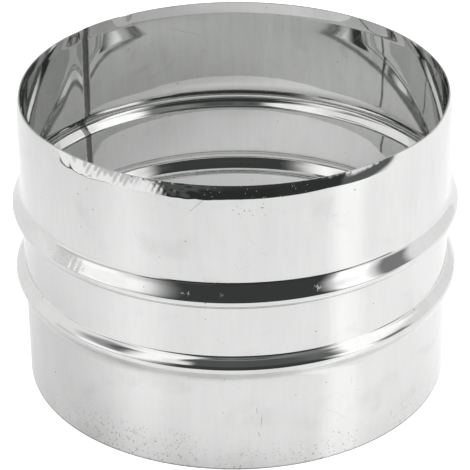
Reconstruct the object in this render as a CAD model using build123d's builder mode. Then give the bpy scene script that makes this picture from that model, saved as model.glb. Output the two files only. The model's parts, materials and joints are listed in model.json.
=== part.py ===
"""Flue pipe coupling: a short stainless sleeve that joins two flue pipes.

One strip of thin sheet is rolled into a tube and butt-welded along its length. Two hollow beads are
then rolled outwards near the middle, where the pipe ends stop, and the upper edge is rolled inwards
as a lead-in. Millimetres, +Z up, origin on the axis in the plane of the lower edge.
"""
import os
from math import cos, degrees, radians, tan

from build123d import *

# Sheet and tube
spigot_diameter = 140.0  # outside of both straight ends, the flue size
wall_thickness = 0.5

# Heights along the axis
sleeve_height = 100.0
lower_crest_z = 38.2
upper_crest_z = 62.1

# Section of both beads, seen from outside: drawn out towards the sleeve's end, stepped towards its middle
bead_height = 2.95
bead_crest_radius = 2.2
bead_end_slope = 34.0  # of the side that faces the sleeve's end, from the axis
bead_end_root_radius = 6.0
bead_step_root_radius = 0.9

# Side of each bead that faces the other: a brow below the crest, then a knee and a steep step to the wall
lower_brow_slope = 42.0
lower_knee_radius = 5.0
lower_step_slope = 58.0
lower_step_width = 3.55  # from the crest to where the step meets the wall
upper_brow_slope = 33.0
upper_knee_radius = 1.0
upper_step_slope = 54.0
upper_step_width = 3.2

# Lead-in at the upper edge
lead_in_height = 4.4
lead_in_inset = 0.85
lead_in_crease_radius = 6.0

# Weld seam, planished flush outside and left slightly proud inside
seam_width = 3.0
seam_height = 0.15
seam_direction = 137.0  # about the axis, from +X towards +Y

# Heights and radii that follow
spigot_radius = spigot_diameter / 2
lead_in_start_z = sleeve_height - lead_in_height
seam_inner_radius = spigot_radius - wall_thickness - seam_height
seam_arc = degrees(seam_width / seam_inner_radius)


def bead_corners(brow_slope, step_slope, step_width):
    """Corners of one bead before its bends are rounded: distance from the crest towards the middle of the
    sleeve, and height above the wall. The end side and the brow are lines that touch the crest arc."""
    end_fall = tan(radians(bead_end_slope))
    brow_fall = tan(radians(brow_slope))
    step_fall = tan(radians(step_slope))
    crest_centre = bead_height - bead_crest_radius
    end_rise = crest_centre + bead_crest_radius / cos(radians(bead_end_slope))
    brow_rise = crest_centre + bead_crest_radius / cos(radians(brow_slope))
    apex = (brow_rise - end_rise) / (end_fall + brow_fall)
    knee = (step_width * step_fall - brow_rise) / (step_fall - brow_fall)
    return [
        (-end_rise / end_fall, 0),
        (apex, brow_rise - apex * brow_fall),
        (knee, brow_rise - knee * brow_fall),
        (step_width, 0),
    ]


lower_bead = [
    (spigot_radius + rise, lower_crest_z + inward)
    for inward, rise in bead_corners(lower_brow_slope, lower_step_slope, lower_step_width)
]
upper_bead = [
    (spigot_radius + rise, upper_crest_z - inward)
    for inward, rise in bead_corners(upper_brow_slope, upper_step_slope, upper_step_width)
]

# The outer face of the sheet from the lower edge to the upper edge, as radius and height
outer_corners = [
    (spigot_radius, 0),
    *lower_bead,
    *reversed(upper_bead),
    (spigot_radius, lead_in_start_z),
    (spigot_radius - lead_in_inset, sleeve_height),
]
bend_radii = [
    bead_end_root_radius,
    bead_crest_radius,
    lower_knee_radius,
    bead_step_root_radius,
    bead_step_root_radius,
    upper_knee_radius,
    bead_crest_radius,
    bead_end_root_radius,
    lead_in_crease_radius,
]

# Coupling sleeve: the rolled sheet turned about the axis, with the weld as a low band inside it
seam_start = Plane.XZ.rotated((0, 0, seam_direction - seam_arc / 2))

with BuildPart() as coupling_sleeve:
    with BuildSketch(Plane.XZ) as sheet_section:
        with BuildLine():
            FilletPolyline(*outer_corners, radius=bend_radii)
            offset(amount=wall_thickness, side=Side.LEFT)
        make_face()
    revolve(axis=Axis.Z)
    with BuildSketch(seam_start) as seam_section:
        with BuildLine():
            FilletPolyline(*outer_corners, radius=bend_radii)
            offset(amount=wall_thickness + seam_height, side=Side.LEFT)
        make_face()
    revolve(axis=Axis.Z, revolution_arc=seam_arc)

coupling_sleeve.part.label = "coupling_sleeve"

os.makedirs("parts", exist_ok=True)
export_step(coupling_sleeve.part, "parts/coupling_sleeve.step")
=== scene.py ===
import json
from math import cos, pi, radians, sin, tan

import bpy
import numpy as np
from mathutils import Matrix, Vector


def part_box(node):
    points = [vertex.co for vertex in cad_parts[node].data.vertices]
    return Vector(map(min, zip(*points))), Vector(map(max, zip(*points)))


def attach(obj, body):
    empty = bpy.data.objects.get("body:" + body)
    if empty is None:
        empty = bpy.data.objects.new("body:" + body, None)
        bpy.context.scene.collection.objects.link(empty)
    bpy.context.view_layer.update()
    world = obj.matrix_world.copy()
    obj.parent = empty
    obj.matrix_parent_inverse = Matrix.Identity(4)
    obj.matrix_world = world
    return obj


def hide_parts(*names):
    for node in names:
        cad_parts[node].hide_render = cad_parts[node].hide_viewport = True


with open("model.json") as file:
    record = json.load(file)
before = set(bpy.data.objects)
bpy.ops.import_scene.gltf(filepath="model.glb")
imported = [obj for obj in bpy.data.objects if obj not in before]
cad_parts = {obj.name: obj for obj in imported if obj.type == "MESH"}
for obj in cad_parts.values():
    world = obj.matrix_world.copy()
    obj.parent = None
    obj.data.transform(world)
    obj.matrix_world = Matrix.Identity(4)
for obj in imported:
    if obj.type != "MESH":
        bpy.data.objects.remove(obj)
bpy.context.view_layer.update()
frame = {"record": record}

# Coupling sleeve
# One strip of bright stainless sheet, rolled round and butt-welded at the back left. Two hollow beads are
# rolled outwards near the middle and the upper edge is rolled inwards, all in the same half millimetre.
mounts = {mount["name"]: mount for mount in frame["record"]["mounts"]}
sleeve_low, sleeve_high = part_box("coupling_sleeve")
sleeve_height = sleeve_high[2] - sleeve_low[2]
spigot_radius = mounts["upper_spigot"]["dims"]["r_mm"] / 1000
wall_thickness = spigot_radius - mounts["flue_bore"]["dims"]["r_mm"] / 1000

lower_crest = 0.0382
upper_crest = 0.0621
bead_height = sleeve_high[0] - spigot_radius
bead_crest_radius = 0.0022
bead_end_slope = radians(34)
bead_end_root_radius = 0.006
bead_step_root_radius = 0.0009
lower_brow_slope = radians(42)
lower_knee_radius = 0.005
lower_step_slope = radians(58)
lower_step_width = 0.00355
upper_brow_slope = radians(33)
upper_knee_radius = 0.001
upper_step_slope = radians(54)
upper_step_width = 0.0032
lead_in_height = 0.0044
lead_in_inset = 0.00085
lead_in_crease_radius = 0.006
seam_bearing = radians(137)
seam_width = 0.003
seam_height = 0.00015


def bent_line(corners, radii, run_cuts, bend_step):
    """Straight runs from corner to corner, each joined to the next by an arc that touches both.

    On a run the heading is constant. On an arc of radius r, the point at heading h is the start of the arc
    plus r times (sin h - sin h0, cos h0 - cos h), with the sign of the turn. Gives points and headings.
    """
    corners = np.array(corners)
    legs = np.diff(corners, axis=0)
    heading = np.arctan2(legs[:, 1], legs[:, 0])
    along = np.stack([np.cos(heading), np.sin(heading)], axis=1)
    turn = np.diff(heading)
    setback = np.concatenate([[0], np.array(radii) * np.tan(np.abs(turn) / 2), [0]])
    points, headings = [], []
    for k in range(len(legs)):
        start = corners[k] + setback[k] * along[k]
        end = corners[k + 1] - setback[k + 1] * along[k]
        share = np.linspace(0, 1, run_cuts[k] + 1)[:, None]
        points.append(start + share * (end - start))
        headings.append(np.full(run_cuts[k] + 1, heading[k]))
        if k < len(turn):
            steps = max(2, int(np.ceil(abs(turn[k]) / bend_step)))
            sweep = np.linspace(heading[k], heading[k + 1], steps + 1)[1:-1]
            offset = np.stack([np.sin(sweep) - sin(heading[k]), cos(heading[k]) - np.cos(sweep)], axis=1)
            points.append(end + np.sign(turn[k]) * radii[k] * offset)
            headings.append(sweep)
    return np.concatenate(points), np.concatenate(headings)


def waves(bearing, lowest, highest, seed):
    """Sum of whole waves round the sleeve, from lowest to highest in number, each with its own phase."""
    chance = np.random.default_rng(seed)
    count = np.arange(lowest, highest + 1)
    size = chance.normal(size=len(count))
    phase = chance.uniform(0, 2 * pi, len(count))
    total = (size * np.cos(bearing[:, None] * count + phase)).sum(axis=1)
    return total / np.sqrt((size ** 2).sum() / 2)


def bump_at(distance, width):
    """A smooth hump of height one at distance zero, with the given half width at about a third of it."""
    return np.exp(-((distance / width) ** 2))


def bead_corners(brow_slope, step_slope, step_width):
    """Corners of one bead before its bends are rounded, as distance from the crest and height on the wall.

    The end flank and the brow are lines that touch the crest arc; the steep step cuts the brow short. The
    first distance is towards the sleeve's end, the others towards its middle.
    """
    end_rise = bead_height - bead_crest_radius + bead_crest_radius / cos(bead_end_slope)
    brow_rise = bead_height - bead_crest_radius + bead_crest_radius / cos(brow_slope)
    apex = (brow_rise - end_rise) / (tan(bead_end_slope) + tan(brow_slope))
    knee = (step_width * tan(step_slope) - brow_rise) / (tan(step_slope) - tan(brow_slope))
    return (
        (-end_rise / tan(bead_end_slope), 0),
        (apex, brow_rise - apex * tan(brow_slope)),
        (knee, brow_rise - knee * tan(brow_slope)),
        (step_width, 0),
    )


lower_bead = [
    (spigot_radius + rise, lower_crest + inward)
    for inward, rise in bead_corners(lower_brow_slope, lower_step_slope, lower_step_width)
]
upper_bead = [
    (spigot_radius + rise, upper_crest - inward)
    for inward, rise in bead_corners(upper_brow_slope, upper_step_slope, upper_step_width)
]
section, heading = bent_line(
    [
        (spigot_radius, 0),
        *lower_bead,
        *reversed(upper_bead),
        (spigot_radius, sleeve_height - lead_in_height),
        (spigot_radius - lead_in_inset, sleeve_height),
    ],
    [
        bead_end_root_radius,
        bead_crest_radius,
        lower_knee_radius,
        bead_step_root_radius,
        bead_step_root_radius,
        upper_knee_radius,
        bead_crest_radius,
        bead_end_root_radius,
        lead_in_crease_radius,
    ],
    run_cuts=[6, 2, 2, 1, 4, 1, 2, 2, 6, 9],
    bend_step=radians(7.5),
)
path = np.concatenate([[0], np.cumsum(np.linalg.norm(np.diff(section, axis=0), axis=1))])
outward = np.stack([np.sin(heading), -np.cos(heading)], axis=1)

# faults of this copy of the sleeve: bearings from the weld (of the opened places, from the front), widths,
# and how far the sheet moves
crumple_place, crumple_width = radians(98), radians(15)
front_crumple_place, front_crumple_width, front_crumple_share = radians(122), radians(5), 1.4
crumple_lean_left, crumple_lean_right = 0.02, 0.03
crumple_depth = 0.00012
burr_place, burr_width, burr_depth = radians(163), radians(13), 0.00015
nick_place, nick_width, nick_depth = radians(-14), radians(1.6), 0.0004
opened_places, opened_width, opened_reach = (radians(58), radians(-67)), radians(13), 0.0008
dent_degrees, dent_width, dent_depth = 88, radians(4.5), 0.00006
dent_height, dent_tall = upper_crest + 0.0016, 0.0018
out_of_round = 0.00004
taper_start, taper_depth = 0.069, 0.0003
lip_bulge = 0.0002
spread_past_weld, spread_before_weld = 0.0055, 0.009
offset_past_weld, offset_before_weld = 0.00038, 0.00027

# bearings round the sleeve, closer together at the seam and along the crumpled and the burred rim
even = np.linspace(-pi, pi, 4001)
crowding = np.cumsum(
    1
    + 1.6 * bump_at(even, radians(7))
    + 1.2 * bump_at(even - crumple_place, radians(16))
    + 0.9 * bump_at(even - burr_place, burr_width)
)
crowding = (crowding - crowding[0]) / (crowding[-1] - crowding[0])
segments = 530
from_seam = np.interp(np.linspace(0, 1, segments + 1), crowding, even)[:-1]
bearing = seam_bearing + from_seam
from_front = bearing + pi / 2
arc = from_seam * spigot_radius

# small departures of the sheet from true round, in metres, as bearing by path: broad waves, a slight
# taper of the upper end, an offset of the two edges at the weld, dents in the upper bead, and crumples,
# a nick and two opened places in the rolled edge
height = section[:, 1]
lip_share = np.clip((height - (sleeve_height - lead_in_height)) / lead_in_height, 0, 1)
top_share = np.clip((height - taper_start) / (sleeve_height - taper_start), 0, 1)
past_weld = arc > 0
from_weld = arc / np.where(past_weld, spread_past_weld, spread_before_weld)
weld_size = np.where(past_weld, offset_past_weld, offset_before_weld)
weld_offset = -weld_size * from_weld * np.exp(-(from_weld ** 2))
leaning_left = (bearing[:, None] + crumple_lean_left * lip_share).reshape(-1)
leaning_right = (bearing[:, None] - crumple_lean_right * lip_share).reshape(-1)
crumple = np.abs(waves(leaning_left, 30, 75, 21)) + np.abs(waves(leaning_right, 75, 135, 24))
crumple = crumple.reshape(segments, -1)
crumpled = bump_at(from_seam - crumple_place, crumple_width)
crumpled += front_crumple_share * bump_at(from_seam - front_crumple_place, front_crumple_width)
nick = bump_at(from_seam - nick_place, nick_width)
opened = sum(bump_at(np.angle(np.exp(1j * (from_front - place))), opened_width) for place in opened_places)
dent = np.abs(waves(bearing, 55, 110, 41)) * bump_at(from_seam - radians(dent_degrees), dent_width)
dent_share = bump_at(height - dent_height, dent_tall)
sway = (
    out_of_round * waves(bearing, 2, 5, 3)[:, None]
    - taper_depth * top_share
    + weld_offset[:, None]
    + lip_bulge * lip_share * (1 - lip_share)
    - crumple_depth * crumple * crumpled[:, None] * lip_share ** 0.5
    - nick_depth * nick[:, None] * lip_share
    + opened_reach * opened[:, None] * lip_share
    - dent_depth * dent[:, None] * dent_share
)
burr = bump_at(from_seam - burr_place, burr_width) * np.clip(waves(bearing, 150, 260, 31), 0, 2)
outer = section[None] + sway[:, :, None] * outward[None]
weld_ridge = seam_height * np.clip(1 - (2 * arc / seam_width) ** 2, 0, 1)
inner = outer - (wall_thickness + weld_ridge[:, None, None]) * outward[None]
loop = np.concatenate([outer, inner[:, ::-1]], axis=1)
loop_lip = np.concatenate([lip_share, lip_share[::-1]])
ring = loop.shape[1]
places = np.stack(
    [
        loop[:, :, 0] * np.cos(bearing)[:, None],
        loop[:, :, 0] * np.sin(bearing)[:, None],
        np.clip(loop[:, :, 1] - burr_depth * burr[:, None] * loop_lip ** 8, 0, sleeve_height),
    ],
    axis=2,
)
turn_index = np.arange(segments)[:, None]
ring_index = np.arange(ring)[None, :]
next_turn = (turn_index + 1) % segments
next_ring = (ring_index + 1) % ring
quads = np.stack(
    [
        turn_index * ring + ring_index,
        next_turn * ring + ring_index,
        next_turn * ring + next_ring,
        turn_index * ring + next_ring,
    ],
    axis=2,
).reshape(-1, 4)

sleeve_mesh = bpy.data.meshes.new("coupling_sleeve_dressed")
sleeve_mesh.from_pydata(places.reshape(-1, 3), [], quads)
girth = 2 * pi * spigot_radius
round_loop = 2 * path[-1] + 2 * wall_thickness
across = np.append(arc, girth / 2) / girth + 0.5
along_loop = np.concatenate([path, 2 * path[-1] + wall_thickness - path[::-1], [round_loop]]) / round_loop
corner_u = np.stack([across[:-1], across[1:], across[1:], across[:-1]], axis=1)[:, None, :]
corner_v = np.stack([along_loop[:-1], along_loop[:-1], along_loop[1:], along_loop[1:]], axis=1)[None, :, :]
strip = np.stack(np.broadcast_arrays(corner_u, corner_v), axis=3)
uv = sleeve_mesh.uv_layers.new(name="strip")
uv.data.foreach_set("uv", np.ascontiguousarray(strip, dtype=np.float32).reshape(-1))
sleeve_mesh.polygons.foreach_set("use_smooth", np.ones(len(quads), dtype=bool))
sleeve_mesh.set_sharp_from_angle(angle=radians(40))
sleeve_mesh.update()
sleeve = bpy.data.objects.new("coupling_sleeve_dressed", sleeve_mesh)
bpy.context.collection.objects.link(sleeve)
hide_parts("coupling_sleeve")
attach(sleeve, "root")

steel = bpy.data.materials.new("bright_stainless_sheet")
steel.use_nodes = True
sleeve_mesh.materials.append(steel)


def add_node(tree, kind, settings=(), **inputs):
    """One shader node in a tree, with its settings and its inputs, each a value or another node's output.

    An input goes by its name, with _ for a space, or by the letter i and its number.
    """
    node = tree.nodes.new("ShaderNode" + kind)
    for name, value in dict(settings).items():
        setattr(node, name, value)
    for name, value in inputs.items():
        socket = node.inputs[int(name[1:])] if name[1:].isdigit() else node.inputs[name.replace("_", " ")]
        if isinstance(value, bpy.types.NodeSocket):
            tree.links.new(value, socket)
        else:
            socket.default_value = value
    return node


def add_math(tree, operation, first, second=0.0):
    """One sum, product or other step of arithmetic in a tree."""
    return add_node(tree, "Math", {"operation": operation}, i0=first, i1=second).outputs["Value"]


def steel_node(kind, settings=(), **inputs):
    return add_node(steel.node_tree, kind, settings, **inputs)


def steel_math(operation, first, second=0.0):
    return add_math(steel.node_tree, operation, first, second)


def steel_ramp(value, low, high, at_low=0.0, at_high=1.0):
    """A smooth step from one level to another, as the value goes from low to high."""
    node = steel_node(
        "MapRange",
        {"interpolation_type": "SMOOTHSTEP"},
        Value=value,
        From_Min=low,
        From_Max=high,
        To_Min=at_low,
        To_Max=at_high,
    )
    return node.outputs["Result"]


def steel_noise(across_scale, along_scale, detail=2.0, bend=0.0):
    """Smooth noise on the flat strip, with its scales in features per millimetre."""
    place = steel_node("Mapping", Vector=flat_strip, Scale=(across_scale, along_scale, 1))
    node = steel_node("TexNoise", Vector=place.outputs["Vector"], Scale=1.0, Detail=detail, Distortion=bend)
    return node.outputs["Fac"]


# the strip laid flat, in millimetres: across from the weld, along from the lower outer edge and back inside
strip_map = steel_node("UVMap", {"uv_map": "strip"})
flat_strip = steel_node(
    "Mapping",
    Vector=strip_map.outputs["UV"],
    Location=(-girth * 500, 0, 0),
    Scale=(girth * 1000, round_loop * 1000, 1),
).outputs["Vector"]
strip_axes = steel_node("SeparateXYZ", Vector=flat_strip)
strip_across, strip_along = strip_axes.outputs["X"], strip_axes.outputs["Y"]

# rolling streaks, broad and fine, along the axis
streak = steel_math(
    "ADD",
    steel_ramp(steel_noise(0.09, 0.022, detail=4), 0.3, 0.7, -0.6, 0.6),
    steel_ramp(steel_noise(0.6, 0.07, detail=4), 0.3, 0.7, -0.4, 0.4),
)
# smudges from handling
smudge = steel_ramp(steel_noise(0.05, 0.08, detail=5, bend=0.6), 0.54, 0.72)


def strip_place(degrees, height_at):
    """Where a bearing from the weld and a height on the outer face lie on the flat strip, in mm."""
    return radians(degrees) * spigot_radius * 1000, np.interp(height_at, section[:, 1], path) * 1000, 0


def steel_line(centre, slant, solid_width, width, solid_reach, reach):
    """A straight line through a centre on the strip, turned by its slant and soft at its sides and ends."""
    offset = steel_node("VectorMath", {"operation": "SUBTRACT"}, i0=flat_strip, i1=centre)
    turned = steel_node(
        "VectorRotate", {"rotation_type": "Z_AXIS"}, Vector=offset.outputs["Vector"], Angle=slant
    )
    line_axes = steel_node("SeparateXYZ", Vector=turned.outputs["Vector"])
    thin = steel_ramp(steel_math("ABSOLUTE", line_axes.outputs["X"]), solid_width, width, 1.0, 0.0)
    near = steel_ramp(steel_math("ABSOLUTE", line_axes.outputs["Y"]), solid_reach, reach, 1.0, 0.0)
    return steel_math("MULTIPLY", thin, near)


def steel_cells(cell_scale):
    """The strip cut into random cells, with three chances from nought to one for each of them."""
    cells = steel_node("TexVoronoi", {"voronoi_dimensions": "2D"}, Vector=flat_strip, Scale=cell_scale)
    return cells, steel_node("SeparateColor", Color=cells.outputs["Color"])


def steel_scratches(cell_scale, reach, width, kept_above):
    """Straight hair lines: one in each kept cell of the strip, through its centre and at its own slant."""
    cells, chance = steel_cells(cell_scale)
    slant = steel_math("MULTIPLY", chance.outputs["Red"], pi)
    line = steel_line(cells.outputs["Position"], slant, width * 0.3, width, reach * 0.4, reach)
    return steel_math("MULTIPLY", line, steel_ramp(chance.outputs["Green"], kept_above, 1.0))


def steel_specks(cell_scale, radius, kept_above):
    """Small round spots: one in each kept cell of the strip, with ragged edges."""
    cells, chance = steel_cells(cell_scale)
    ragged = steel_ramp(steel_noise(2.2, 1.6), 0.3, 0.7, 0.5, 1.5)
    reach = steel_math("MULTIPLY", cells.outputs["Distance"], ragged)
    spot = steel_ramp(reach, radius * cell_scale * 0.7, radius * cell_scale, 1.0, 0.0)
    return steel_math("MULTIPLY", spot, steel_ramp(chance.outputs["Blue"], kept_above, kept_above + 0.08))


def steel_patch(degrees, width, height_at, height_reach):
    """A soft-edged patch of the outer face, about a bearing from the weld and a height on the sleeve."""
    across_at, along_at, _ = strip_place(degrees, height_at)
    beside = steel_math("ABSOLUTE", steel_math("SUBTRACT", strip_across, across_at))
    above = steel_math("ABSOLUTE", steel_math("SUBTRACT", strip_along, along_at))
    return steel_math(
        "MULTIPLY",
        steel_ramp(beside, width * 0.3, width, 1.0, 0.0),
        steel_ramp(above, height_reach * 300, height_reach * 1000, 1.0, 0.0),
    )


# hair scratches, long and short, gathered in some places
scratch = steel_math(
    "MULTIPLY",
    steel_math(
        "MAXIMUM",
        steel_scratches(cell_scale=0.06, reach=8.0, width=0.13, kept_above=0.5),
        steel_scratches(cell_scale=0.22, reach=2.4, width=0.1, kept_above=0.5),
    ),
    steel_ramp(steel_noise(0.035, 0.03, detail=1), 0.48, 0.58),
)
# grime by the lower edge, most of it at the front left: smears, and specks that also stand under the rim
foot_share = steel_ramp(strip_along, 1.0, 12.0, 1.0, 0.0)
grime_clumps = steel_ramp(steel_noise(0.03, 0.03, detail=1), 0.42, 0.58, 0.25, 1.0)
grime_share = steel_math(
    "MAXIMUM",
    steel_math("MULTIPLY", foot_share, grime_clumps),
    steel_patch(degrees=105, width=34.0, height_at=0.004, height_reach=0.012),
)
smear = steel_math(
    "MULTIPLY", steel_ramp(steel_noise(0.9, 0.45, detail=4, bend=0.8), 0.56, 0.7), grime_share
)
speck_share = steel_math(
    "MAXIMUM", grime_share, steel_patch(degrees=136.5, width=9.0, height_at=0.0925, height_reach=0.0032)
)
speck = steel_math(
    "MAXIMUM",
    steel_specks(cell_scale=0.13, radius=0.22, kept_above=0.8),
    steel_math("MULTIPLY", steel_specks(cell_scale=0.75, radius=0.22, kept_above=0.62), speck_share),
)
# the deeper marks, one by one: bearing from the weld, height, half length in millimetres, and slant
stroke = 0.0
for degrees, height_at, reach, slant in (
    (123.6, 0.0935, 3.6, -45),
    (93.5, 0.0915, 0.9, -20),
    (138.0, 0.0220, 1.3, 10),
    (139.2, 0.0180, 1.8, -5),
    (138.6, 0.0130, 1.2, 20),
    (177.8, 0.0070, 1.6, 0),
    (158.7, 0.0093, 0.5, 30),
):
    line = steel_line(
        strip_place(degrees, height_at),
        radians(-slant),
        solid_width=0.04,
        width=0.14,
        solid_reach=reach * 0.6,
        reach=reach,
    )
    stroke = steel_math("MAXIMUM", stroke, line)
# scuffs that dull the mirror: over the dents, as pin pricks on the lip, and singly on the upper bead,
# each at its bearing from the weld and with its half width and half height in millimetres
scuff = steel_math(
    "MAXIMUM",
    steel_math(
        "MULTIPLY",
        steel_ramp(steel_noise(0.8, 1.4, detail=3), 0.52, 0.6),
        steel_patch(degrees=dent_degrees, width=10.0, height_at=dent_height, height_reach=0.004),
    ),
    steel_math(
        "MULTIPLY",
        steel_specks(cell_scale=0.9, radius=0.14, kept_above=0.78),
        steel_patch(degrees=138, width=26.0, height_at=0.098, height_reach=0.003),
    ),
)
scuff_height = upper_crest + 0.0024
for degrees, width, tall in ((129.5, 0.5, 0.4), (120, 0.5, 0.3), (121.5, 0.3, 0.5), (153, 0.7, 0.8)):
    place = strip_place(degrees, scuff_height)
    offset = steel_node("VectorMath", {"operation": "SUBTRACT"}, i0=flat_strip, i1=place)
    scaled = steel_node(
        "VectorMath", {"operation": "DIVIDE"}, i0=offset.outputs["Vector"], i1=(width, tall, 1)
    )
    reach = steel_node("VectorMath", {"operation": "LENGTH"}, i0=scaled.outputs["Vector"]).outputs["Value"]
    ragged = steel_math("MULTIPLY", reach, steel_ramp(steel_noise(2.6, 1.2), 0.35, 0.65, 0.5, 2.0))
    scuff = steel_math("MAXIMUM", scuff, steel_ramp(ragged, 0.7, 1.1, 1.0, 0.0))
# the weld: a dull, darker band with ragged sides, fainter outside, where it is planished
rim_along = (path[-1] + wall_thickness / 2) * 1000
weld_ragged = steel_ramp(steel_noise(0.5, 0.5), 0.3, 0.7, -0.12, 0.12)
weld = steel_math(
    "MULTIPLY",
    steel_ramp(steel_math("ADD", steel_math("ABSOLUTE", strip_across), weld_ragged), 1.15, 1.5, 1.0, 0.0),
    steel_ramp(strip_along, rim_along - 0.2, rim_along + 0.2, 0.4, 1.0),
)
# painted shade: a thin dark line along the foot of the outer face, and the cut edge at the rim darkened the
# same way
from_rim = steel_math("ABSOLUTE", steel_math("SUBTRACT", strip_along, rim_along))
painted_edge_shade = steel_math(
    "MAXIMUM", steel_ramp(strip_along, 0.3, 0.7, 1.0, 0.0), steel_ramp(from_rim, 0.25, 0.4, 1.0, 0.0)
)

# bare steel, then each mark with how much it darkens and dulls it
steel_shader = steel.node_tree.nodes["Principled BSDF"]
steel_shader.inputs["Metallic"].default_value = 1
bare_gloss, bare_dullness = 0.70, 0.028
gloss = steel_math("ADD", steel_math("MULTIPLY", streak, 0.022), bare_gloss)
dullness = steel_math("ADD", steel_math("MULTIPLY", streak, 0.006), bare_dullness)
for mark, darkening, dulling in (
    (smudge, 0.045, 0.04),
    (scratch, 0.10, 0.22),
    (speck, 0.42, 0.25),
    (smear, 0.16, 0.2),
    (stroke, 0.3, 0.2),
    (scuff, 0.0, 0.5),
    (weld, 0.48, 0.15),
    # painted shade along the foot and at the rim
    (painted_edge_shade, 0.30, 0.1),
):
    gloss = steel_math("SUBTRACT", gloss, steel_math("MULTIPLY", mark, darkening))
    dullness = steel_math("ADD", dullness, steel_math("MULTIPLY", mark, dulling))
tone = steel_node(
    "CombineColor",
    Red=gloss,
    Green=steel_math("MULTIPLY", gloss, 1.008),
    Blue=steel_math("MULTIPLY", gloss, 0.996),
)
# ripples of the rolled sheet, too low for the mesh
ripple = steel_math(
    "ADD",
    steel_math("MULTIPLY", steel_noise(0.12, 0.05, detail=1), 0.015),
    steel_math("MULTIPLY", steel_noise(0.28, 0.2, detail=1), 0.004),
)
relief = steel_node("Bump", Strength=1.0, Distance=0.001, Height=ripple)
steel.node_tree.links.new(tone.outputs["Color"], steel_shader.inputs["Base Color"])
steel.node_tree.links.new(dullness, steel_shader.inputs["Roughness"])
steel.node_tree.links.new(relief.outputs["Normal"], steel_shader.inputs["Normal"])

# Floor
# A pale paper table top, short in front so that the rolled edge and the beads mirror the dark room beyond.
# It glows a little with painted light, a fan of it to each side of the front, mirrored as upright streaks.
floor_left, floor_right, floor_front, floor_back = -0.38, 0.40, -0.43, 2.0
floor_corners = [
    (floor_left, floor_front, 0),
    (floor_right, floor_front, 0),
    (floor_right, floor_back, 0),
    (floor_left, floor_back, 0),
]
floor_mesh = bpy.data.meshes.new("floor")
floor_mesh.from_pydata(floor_corners, [], [(0, 1, 2, 3)])
floor = bpy.data.objects.new("floor", floor_mesh)
bpy.context.collection.objects.link(floor)
paper = bpy.data.materials.new("pale_paper")
paper.use_nodes = True
floor_mesh.materials.append(paper)
paper_tree = paper.node_tree
paper_shader = paper_tree.nodes["Principled BSDF"]
paper_shader.inputs["Base Color"].default_value = (0.7, 0.7, 0.7, 1)
paper_shader.inputs["Roughness"].default_value = 0.9
paper_shader.inputs["Specular IOR Level"].default_value = 0
paper_shader.inputs["Emission Color"].default_value = (1, 1, 1, 1)

# a painted pool of light: the glow falls off from the sleeve outwards
paper_place = add_node(paper_tree, "TexCoord").outputs["Object"]
from_axis = add_node(paper_tree, "VectorMath", {"operation": "LENGTH"}, i0=paper_place).outputs["Value"]
painted_glow = add_node(
    paper_tree, "MapRange", Value=from_axis, From_Min=0.08, From_Max=0.22, To_Min=0.385, To_Max=0.285
).outputs["Result"]
# the painted fans of light spread from a point on the floor: bearing from the front in degrees, and level
fan_apex_y = -0.045
fan_levels = (
    (-82, 0.0),
    (-58, 0.13),
    (-34, 0.0),
    (46, 0.0),
    (59, 0.21),
    (66, 0.2),
    (75, 0.05),
    (125, 0.04),
)
paper_axes = add_node(paper_tree, "SeparateXYZ", Vector=paper_place).outputs
fan_bearing = add_math(
    paper_tree, "ARCTAN2", paper_axes["X"], add_math(paper_tree, "SUBTRACT", fan_apex_y, paper_axes["Y"])
)
fan_turn = add_node(paper_tree, "MapRange", Value=fan_bearing, From_Min=-pi, From_Max=pi)
painted_fan = add_node(paper_tree, "ValToRGB", Fac=fan_turn.outputs["Result"])
fan_stops = painted_fan.color_ramp.elements
painted_fan.color_ramp.interpolation = "EASE"
while len(fan_stops) < len(fan_levels):
    fan_stops.new(1.0)
for stop, (degrees, fan_level) in zip(fan_stops, fan_levels):
    stop.position = degrees / 360 + 0.5
    stop.color = (fan_level, fan_level, fan_level, 1)
# inside the sleeve the floor's painted glow is even; what the camera sees of it directly is lifted towards
# white
painted_inside_glow = 0.29
camera_lift = 0.6
outside = add_math(paper_tree, "GREATER_THAN", from_axis, spigot_radius)
painted_pool = add_math(paper_tree, "ADD", painted_glow, painted_fan.outputs["Color"])
paper_level = add_node(paper_tree, "Mix", Factor=outside, A=painted_inside_glow, B=painted_pool).outputs["Result"]
paper_seen = add_node(paper_tree, "LightPath").outputs["Is Camera Ray"]
paper_strength = add_math(
    paper_tree, "ADD", add_math(paper_tree, "MULTIPLY", paper_seen, camera_lift), paper_level
)
paper_tree.links.new(paper_strength, paper_shader.inputs["Emission Strength"])

# Light
# A painted sky: a white tent all round, open in front to a dark room where the camera stands, with bright
# panels at both sides of the opening. One lamp at the upper right lights the floor and isn't mirrored.
world = bpy.data.worlds.new("studio")
bpy.context.scene.world = world
world.use_nodes = True
world_tree = world.node_tree

window = bpy.data.node_groups.new("soft_window", "ShaderNodeTree")
window_edges = ("Left", "Right", "Bottom", "Top", "Side Edge", "End Edge")
for name in ("Bearing", "Elevation", *window_edges, "Under", "Level"):
    window.interface.new_socket(name, in_out="INPUT", socket_type="NodeSocketFloat")
window.interface.new_socket("Level", in_out="OUTPUT", socket_type="NodeSocketFloat")
given = window.nodes.new("NodeGroupInput").outputs
painted = window.nodes.new("NodeGroupOutput").inputs


def window_step(value, edge_place, edge_width):
    """A smooth step from nought to one, centred on an edge of the window."""
    node = add_node(
        window,
        "MapRange",
        {"interpolation_type": "SMOOTHSTEP"},
        Value=value,
        From_Min=add_math(window, "SUBTRACT", edge_place, edge_width),
        From_Max=add_math(window, "ADD", edge_place, edge_width),
    )
    return node.outputs["Result"]


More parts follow.
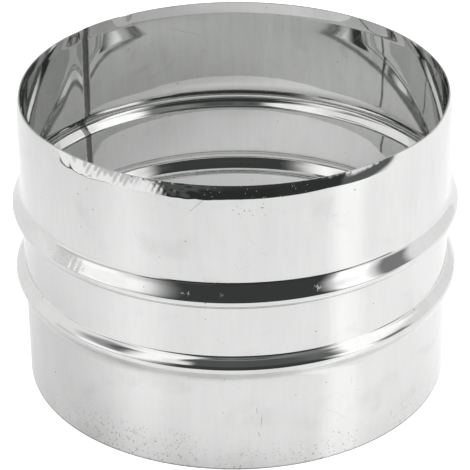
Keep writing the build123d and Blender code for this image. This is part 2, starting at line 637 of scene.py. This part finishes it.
in_side = add_math(
    window,
    "SUBTRACT",
    window_step(given["Bearing"], given["Left"], given["Side Edge"]),
    window_step(given["Bearing"], given["Right"], given["Side Edge"]),
)
in_height = add_math(
    window,
    "SUBTRACT",
    window_step(given["Elevation"], given["Bottom"], given["End Edge"]),
    window_step(given["Elevation"], given["Top"], given["End Edge"]),
)
window_share = add_math(window, "MULTIPLY", in_side, in_height)
window_change = add_math(window, "SUBTRACT", given["Level"], given["Under"])
window_paint = add_math(window, "MULTIPLY", window_share, window_change)
window.links.new(add_math(window, "ADD", given["Under"], window_paint), painted["Level"])

direction = add_node(world_tree, "TexCoord").outputs["Generated"]
sky_axes = add_node(world_tree, "SeparateXYZ", Vector=direction).outputs
sky_front = add_math(world_tree, "MULTIPLY", sky_axes["Y"], -1)
sky_bearing = add_math(world_tree, "ARCTAN2", sky_axes["X"], sky_front)
sky_elevation = add_math(world_tree, "ARCSINE", sky_axes["Z"])

# each window, painted over those before it: left and right bearing from the front, bottom and top
# elevation, softness of the sides and of the ends, all in degrees, and level
tent_level = 1.0
sky_level = tent_level
for *edges, radiance in (
    # the tent behind
    (-230, -125, -90, 90, 15, 5, 0.96),
    (125, 230, -90, 90, 15, 5, 0.96),
    # the left panel, its brighter parts and its dimmer edge
    (-84, -40, -20, 72, 6, 6, 1.0),
    (-86, -58, 3, 23, 6, 4, 1.35),
    (-84, -40, 22, 72, 6, 8, 1.3),
    (-98, -84, -5, 20, 4, 5, 0.82),
    # the low right panel and the dark gap beside it
    (50, 70, 1, 29.5, 3, 4, 1.5),
    (75, 93, 3, 27, 3.5, 4, 0.26),
    # overhead
    (-200, 200, 80, 100, 5, 2, 0.7),
    # the dark room in front, in two halves: paler high up, darker about and below eye level, and paler
    # at eye level on the left
    (-40, 20, -90, 80, 14, 2, 0.055),
    (0, 48, -90, 80, 6, 2, 0.055),
    (-42, 48, 44, 80, 10, 6, 0.11),
    (-46, 47, -2, 4, 9, 2, 0.048),
    (-42, 47, -16, -2, 9, 2, 0.033),
    (-48, -12, -2, 4, 8, 2, 0.1),
    # upper left: the panel's edge towards the room, and a grey and a dark gap beyond it
    (-60, -37, 40, 74, 4, 5, 1.3),
    (-44, -27, 43, 51, 4, 3, 1.1),
    (-92, -62, 31, 54, 7, 5, 0.4),
    (-76, -66, 38, 52, 4, 4, 0.15),
    # the upper right panel, cut by a dark edge that climbs in steps, and a slightly paler strip near the top
    (60, 110, 30, 68, 5, 4, 1.4),
    (40, 60, 37, 80, 6, 4, 0.16),
    (50, 69, 51, 80, 5, 3, 0.19),
    (60, 78, 57, 80, 5, 3, 0.22),
    (70, 86, 63, 80, 5, 3, 0.25),
    (-36, 70, 69, 75, 6, 2, 0.28),
    # low on the right, past the edge of the floor: dark, and then white
    (20, 58, -11, -2, 4, 1.5, 0.04),
    (20, 69, -30, -11, 4, 1.5, 0.06),
    (54, 84, -13, -6, 2, 1.5, 0.13),
    (54, 69, -30, -11, 4, 1.5, 0.17),
    (84, 160, -40, -6, 4, 2, 1.2),
    # low on the left: white with one dark line, and dimmer at eye level
    (-97, -37, -30, -2, 6, 2, 1.15),
    (-97, -46, -20.5, -13.5, 5, 0.8, 0.06),
    (-97, -50, -6, 4, 5, 2, 0.72),
):
    pane = add_node(
        world_tree,
        "Group",
        {"node_tree": window},
        Bearing=sky_bearing,
        Elevation=sky_elevation,
        Under=sky_level,
        Level=radiance,
    )
    for name, degrees in zip(window_edges, edges):
        pane.inputs[name].default_value = radians(degrees)
    sky_level = pane.outputs["Level"]

# the camera sees plain white behind the object; the dark room has a faint green tint
white_level = 1.0
tinted_below = 0.3
room_tint, no_tint = (0.94, 1.05, 0.99, 1), (1, 1, 1, 1)
sky_seen = add_node(world_tree, "LightPath").outputs["Is Camera Ray"]
sky_strength = add_node(world_tree, "Mix", Factor=sky_seen, A=sky_level, B=white_level).outputs["Result"]
pale_share = add_node(world_tree, "MapRange", Value=sky_strength, From_Max=tinted_below).outputs["Result"]
sky_tint = add_node(world_tree, "Mix", {"data_type": "RGBA"}, i0=pale_share, i6=room_tint, i7=no_tint)
background = world_tree.nodes["Background"]
world_tree.links.new(sky_tint.outputs[2], background.inputs["Color"])
world_tree.links.new(sky_strength, background.inputs["Strength"])

lamp_side = 0.5
lamp_radiance = 5.0
lamp = bpy.data.lights.new("top_panel", "AREA")
lamp.shape = "RECTANGLE"
lamp.size = lamp_side
lamp.size_y = lamp_side
lamp.energy = lamp_radiance * pi * lamp_side ** 2
lamp_stand = bpy.data.objects.new("top_panel", lamp)
bpy.context.collection.objects.link(lamp_stand)
lamp_stand.location = (0.5, -0.05, 0.85)
lamp_stand.rotation_euler = (0, radians(30.5), 0)
lamp_stand.visible_camera = False
lamp_stand.visible_glossy = False
bpy.context.scene.cycles.glossy_bounces = 12

# Camera
# At the photograph's viewing angle: a long lens from about 0.7 m, looking 29 degrees down at a point below
# the sleeve's middle, and rolled by half a degree.
camera_reach = 0.7036
camera_tilt = radians(29.10)
camera_roll = radians(-0.521)
camera_aside = -0.00015
aim_height = 0.0453
camera_data = bpy.data.cameras.new("camera")
camera_data.lens = 162.2
camera_data.sensor_width = 36
camera_data.clip_end = 100
camera = bpy.data.objects.new("camera", camera_data)
bpy.context.collection.objects.link(camera)
camera.location = (
    camera_aside,
    -camera_reach * cos(camera_tilt),
    aim_height + camera_reach * sin(camera_tilt),
)
tilted = Matrix.Rotation(pi / 2 - camera_tilt, 3, "X")
rolled = Matrix.Rotation(camera_roll, 3, "Z")
camera.rotation_euler = (tilted @ rolled).to_euler()
bpy.context.scene.camera = camera
bpy.context.scene.view_settings.view_transform = "Standard"
